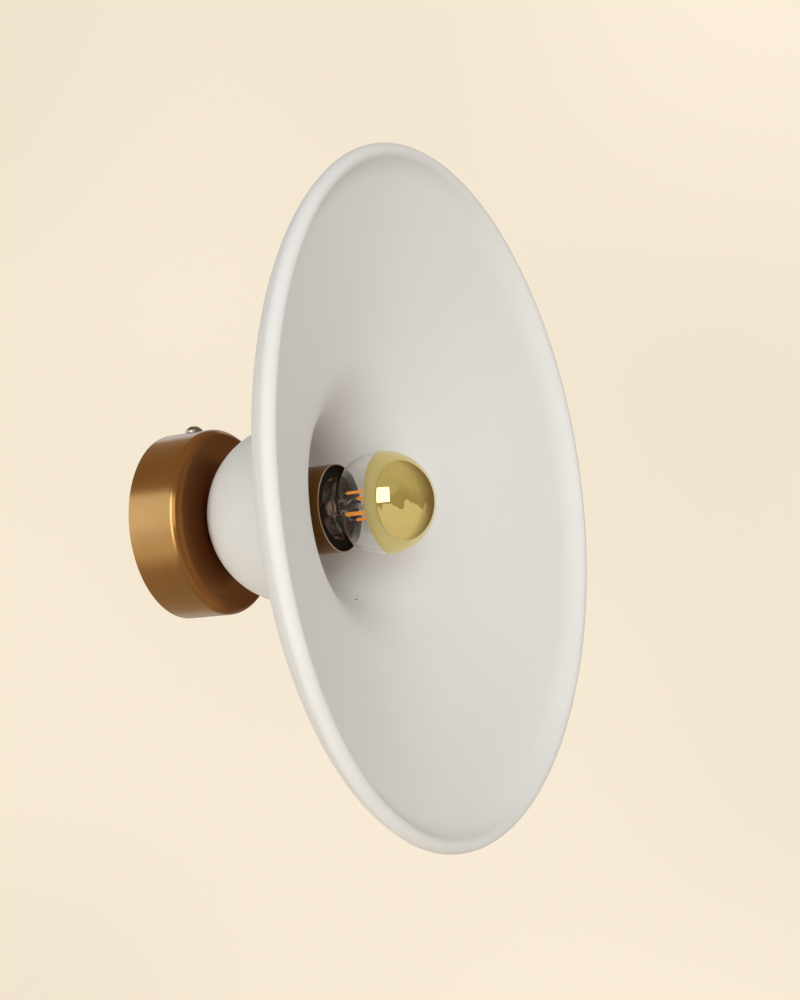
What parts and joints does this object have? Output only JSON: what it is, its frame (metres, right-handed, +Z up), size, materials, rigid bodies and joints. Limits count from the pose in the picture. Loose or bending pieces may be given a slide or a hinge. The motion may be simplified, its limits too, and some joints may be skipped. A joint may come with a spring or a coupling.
{
  "type": "wall light",
  "caption": "Wall light with a trumpet-shaped matt ceramic shade on a round brass canopy, and a half-mirrored globe bulb that unscrews from its lamp holder.",
  "frame": {"origin": "centre of the wall bracket's back face, in the plane of the wall", "axes": "+Z up the wall, +Y into the wall, so the light points along -Y; +X to the right seen from the room"},
  "size_m": [0.3, 0.1399, 0.3],
  "materials": {
    "ceramic": "matt, unglazed off-white",
    "antique_brass": "satin antique brass",
    "cup_brass": "satin brass",
    "zinc_steel": "zinc-plated steel",
    "bright_brass": "plain brass",
    "spring_bronze": "phosphor bronze",
    "black_phenolic": "moulded phenolic",
    "white_polyamide": "moulded polyamide",
    "black_rubber": "soft gasket",
    "live_sleeve": "brown insulation",
    "neutral_sleeve": "blue insulation",
    "earth_sleeve": "green and yellow insulation",
    "clear_glass": "clear",
    "gold_mirror": "gold mirror coating",
    "nickel": "nickel-plated",
    "black_glass": "black glass insulator",
    "filament_phosphor": "phosphor coating",
    "lead_wire": "drawn wire",
    "green_board": "circuit board",
    "capacitor_sleeve": "shrink sleeve"
  },
  "bodies": {
    "fixture": {"wall_bracket": "zinc_steel", "canopy": "antique_brass", "canopy_screw": "nickel", "nipple": "zinc_steel", "canopy_nut": "zinc_steel", "lock_washer": "zinc_steel", "earth_tag": "bright_brass", "canopy_gasket": "black_rubber", "ceramic_shade": "ceramic", "cup_gasket": "black_rubber", "socket_cup": "cup_brass", "cup_nut": "zinc_steel", "holder_base": "black_phenolic", "holder_sleeve": "black_phenolic", "contact_carrier": "black_phenolic", "screw_shell": "bright_brass", "centre_contact": "spring_bronze", "side_contact": "spring_bronze", "terminal_screws": "zinc_steel", "live_wire": "live_sleeve", "neutral_wire": "neutral_sleeve", "earth_wire": "earth_sleeve", "terminal_block": "white_polyamide", "block_tubes": "bright_brass", "block_clamp_screws": "zinc_steel", "block_screws": "zinc_steel", "earth_washer": "bright_brass", "earth_screw": "bright_brass"},
    "bulb_tip": {"cap_contact": "bright_brass"},
    "bulb": {"bulb_cap": "nickel", "cap_insulator": "black_glass", "bulb_glass": "clear_glass", "mirror_crown": "gold_mirror", "bulb_stem": "clear_glass", "led_filaments": "filament_phosphor", "lower_filament_wires": "lead_wire", "upper_filament_wires": "lead_wire", "driver_board": "green_board", "driver_capacitor": "capacitor_sleeve", "driver_leads": "lead_wire"}
  },
  "joints": [
    {"name": "bulb_travel", "type": "slide", "parent": "fixture", "child": "bulb_tip", "axis": [0, -1, 0], "range_m": [0, 0.01086]},
    {"name": "bulb_turn", "type": "hinge", "parent": "bulb_tip", "child": "bulb", "pos_m": [0, -0.1045, 0], "axis": [0, -1, 0], "range_deg": [0, 1080]}
  ],
  "couplings": [
    {"joint": "bulb_travel", "follows": "bulb_turn", "m_per_rad": 0.00057614}
  ]
}
